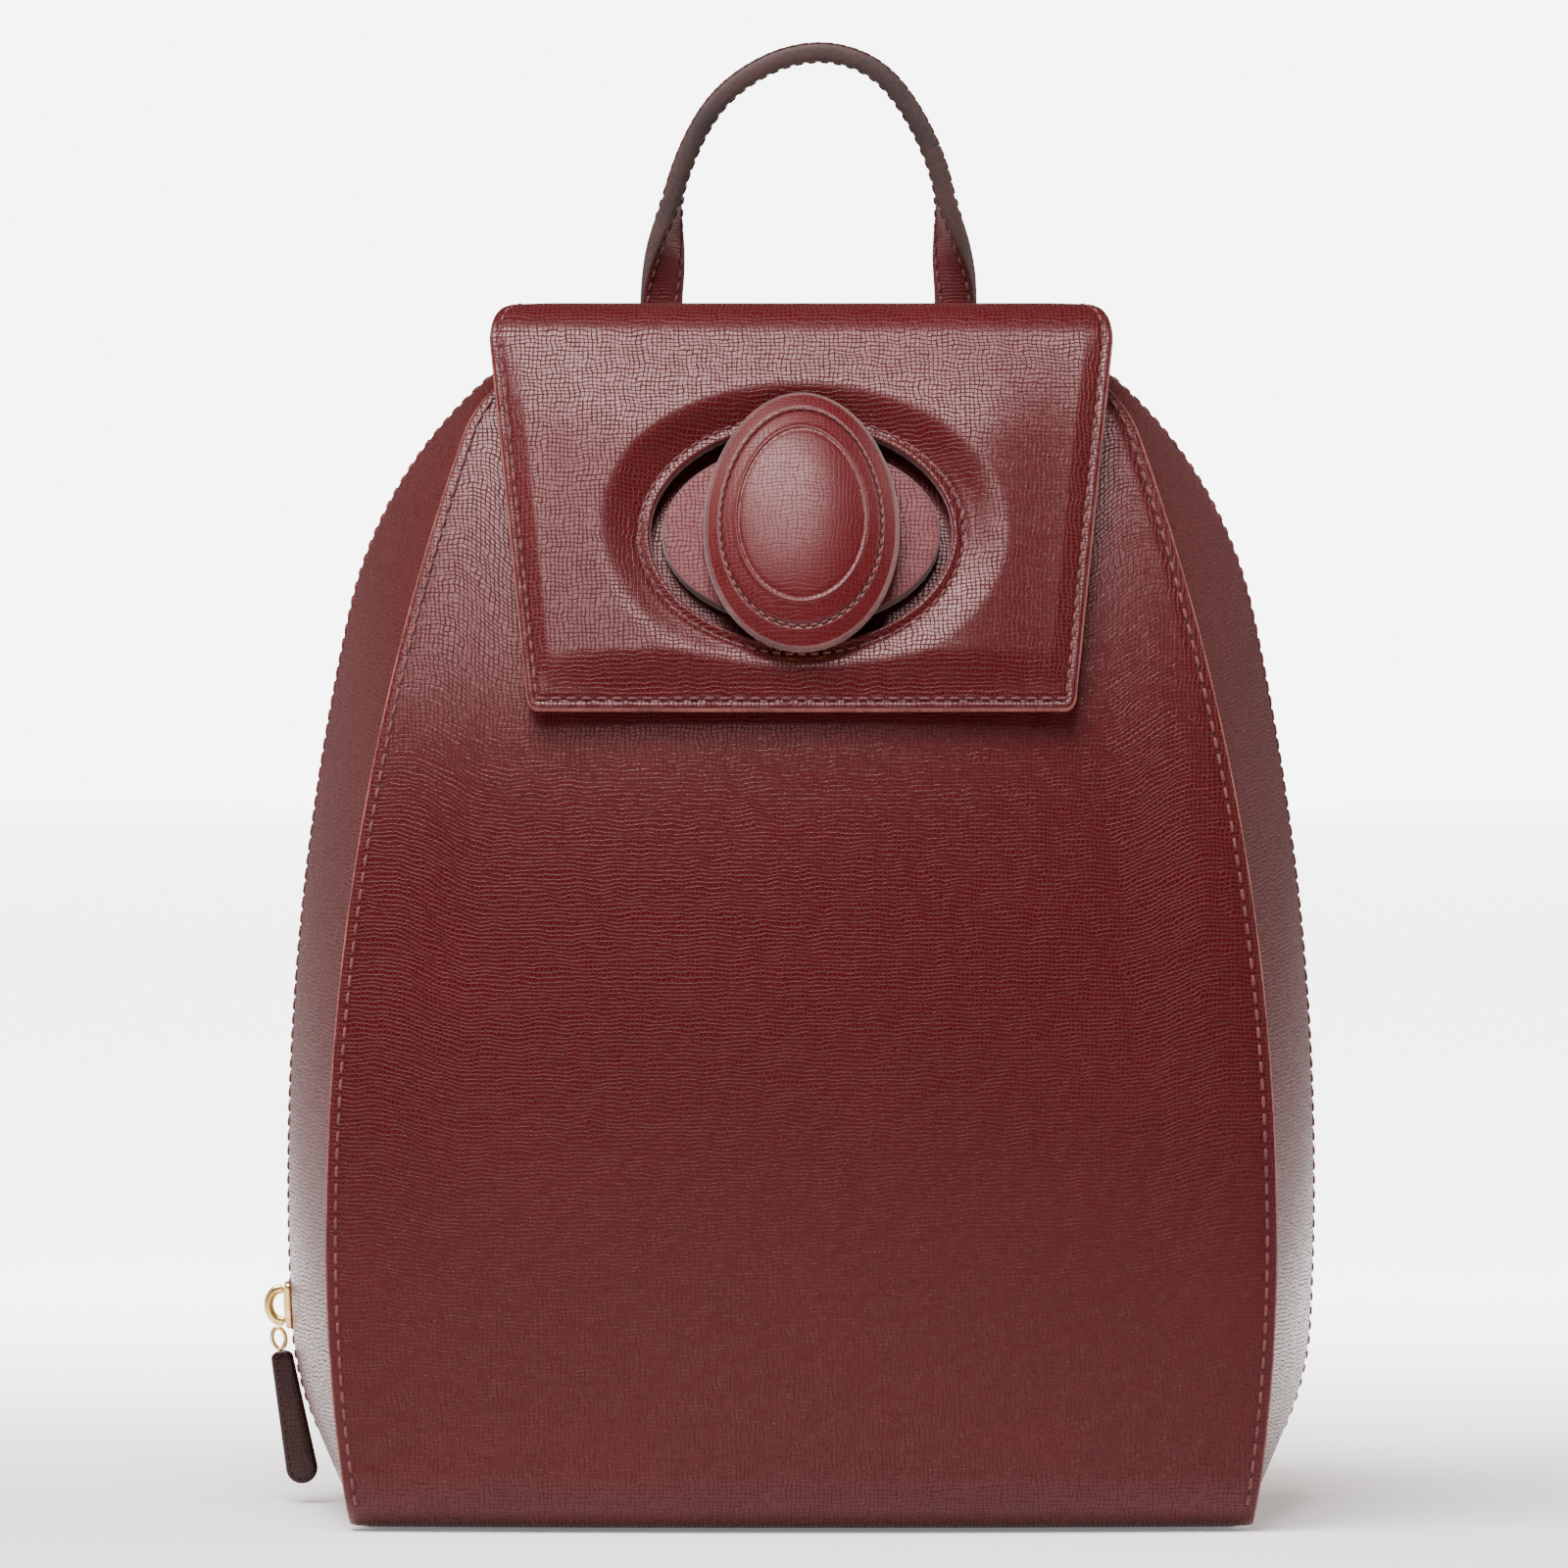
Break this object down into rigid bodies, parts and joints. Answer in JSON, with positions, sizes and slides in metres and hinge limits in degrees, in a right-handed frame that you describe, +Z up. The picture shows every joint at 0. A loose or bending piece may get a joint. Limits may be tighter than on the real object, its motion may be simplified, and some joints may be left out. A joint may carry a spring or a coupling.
{
  "type": "leather backpack",
  "caption": "Small structured leather backpack with an arched body, wrap-round zip, padded front flap with an oval turn lock, top handle and buckled shoulder straps.",
  "frame": {"origin": "the middle of the base's flat underside", "axes": "X to the right seen from the front, the front faces -Y, Z up"},
  "size_m": [0.2457, 0.1709, 0.3409],
  "materials": {
    "outer_leather": "burgundy cross-grained calf leather, satin",
    "dark_leather": "dark burgundy leather with painted glossy edges",
    "lining_cloth": "plain woven lining",
    "board": "plain stiffening board",
    "gold_metal": "polished gold-tone metal",
    "zip_tape": "woven zip tape"
  },
  "bodies": {
    "bag_back": {"back_board": "board", "back_lining": "lining_cloth", "back_panel": "outer_leather", "base_board": "board", "base_panel": "outer_leather", "handle_tab_left": "outer_leather", "handle_tab_right": "outer_leather", "inner_pocket": "lining_cloth", "lower_strap_left": "outer_leather", "lower_strap_right": "outer_leather", "rear_gusset_left": "outer_leather", "rear_gusset_right": "outer_leather", "rear_gusset_top": "outer_leather", "ring_tab_left": "outer_leather", "ring_tab_right": "outer_leather", "shoulder_strap_left": "outer_leather", "shoulder_strap_right": "outer_leather", "strap_anchor": "outer_leather", "strap_buckle_left": "gold_metal", "strap_buckle_right": "gold_metal", "strap_keeper_left": "outer_leather", "strap_keeper_right": "outer_leather", "strap_ring_left": "gold_metal", "strap_ring_right": "gold_metal", "zip_stop_left": "gold_metal", "zip_stop_right": "gold_metal", "zip_tape_rear": "zip_tape", "zip_teeth_rear": "gold_metal"},
    "front_shell": {"front_panel": "outer_leather", "front_board": "board", "pocket_wall": "outer_leather", "front_lining": "lining_cloth", "front_gusset_left": "outer_leather", "front_gusset_top": "outer_leather", "front_gusset_right": "outer_leather", "zip_tape_front": "zip_tape", "zip_teeth_front": "gold_metal", "flap_top": "outer_leather", "lock_plate": "outer_leather", "lock_washer": "gold_metal"},
    "flap": {"flap_front": "outer_leather", "flap_lining": "lining_cloth", "lock_lip": "outer_leather"},
    "turn_knob": {"knob_spindle": "gold_metal", "knob_base": "gold_metal", "knob_cover": "outer_leather"},
    "zip_slider": {"slider_top": "gold_metal", "slider_bottom": "gold_metal", "slider_bail": "gold_metal"},
    "zip_pull": {"pull_link": "gold_metal", "pull_tab": "dark_leather"},
    "handle": {"handle_strap": "dark_leather"},
    "prong_left": {"buckle_prong_left": "gold_metal"},
    "prong_right": {"buckle_prong_right": "gold_metal"}
  },
  "joints": [
    {"name": "shell_hinge", "type": "hinge", "parent": "bag_back", "child": "front_shell", "pos_m": [0, -0.048, 0.012], "axis": [1, 0, 0], "range_deg": [0, 15]},
    {"name": "flap_hinge", "type": "hinge", "parent": "front_shell", "child": "flap", "pos_m": [0, -0.00325, 0.27836], "axis": [-1, 0, 0], "range_deg": [0, 150], "deforming": ["lock_lip"]},
    {"name": "knob_turn", "type": "hinge", "parent": "front_shell", "child": "turn_knob", "pos_m": [0, -0.02662, 0.2265], "axis": [0, -0.8907, 0.4546], "range_deg": [0, 90]},
    {"name": "slider_run", "type": "hinge", "parent": "bag_back", "child": "zip_slider", "pos_m": [0.50203, 0.03, 0.0756], "axis": [0, 1, 0], "range_deg": [-0.3, 14.5], "deforming": ["pull_tab"]},
    {"name": "pull_swing", "type": "hinge", "parent": "zip_slider", "child": "zip_pull", "pos_m": [-0.1222, 0.03, 0.0382], "axis": [0, 1, 0], "range_deg": [-5, 130]},
    {"name": "handle_fold", "type": "hinge", "parent": "bag_back", "child": "handle", "pos_m": [0, 0.0608, 0.2715], "axis": [-1, 0, 0], "range_deg": [-25, 80]},
    {"name": "prong_left_lift", "type": "hinge", "parent": "bag_back", "child": "prong_left", "pos_m": [-0.05099, 0.10257, 0.11676], "axis": [-0.9561, -0.0109, 0.2927], "range_deg": [0, 50]},
    {"name": "prong_right_lift", "type": "hinge", "parent": "bag_back", "child": "prong_right", "pos_m": [0.05099, 0.10257, 0.11676], "axis": [-0.9561, 0.0109, -0.2927], "range_deg": [0, 50]}
  ]
}
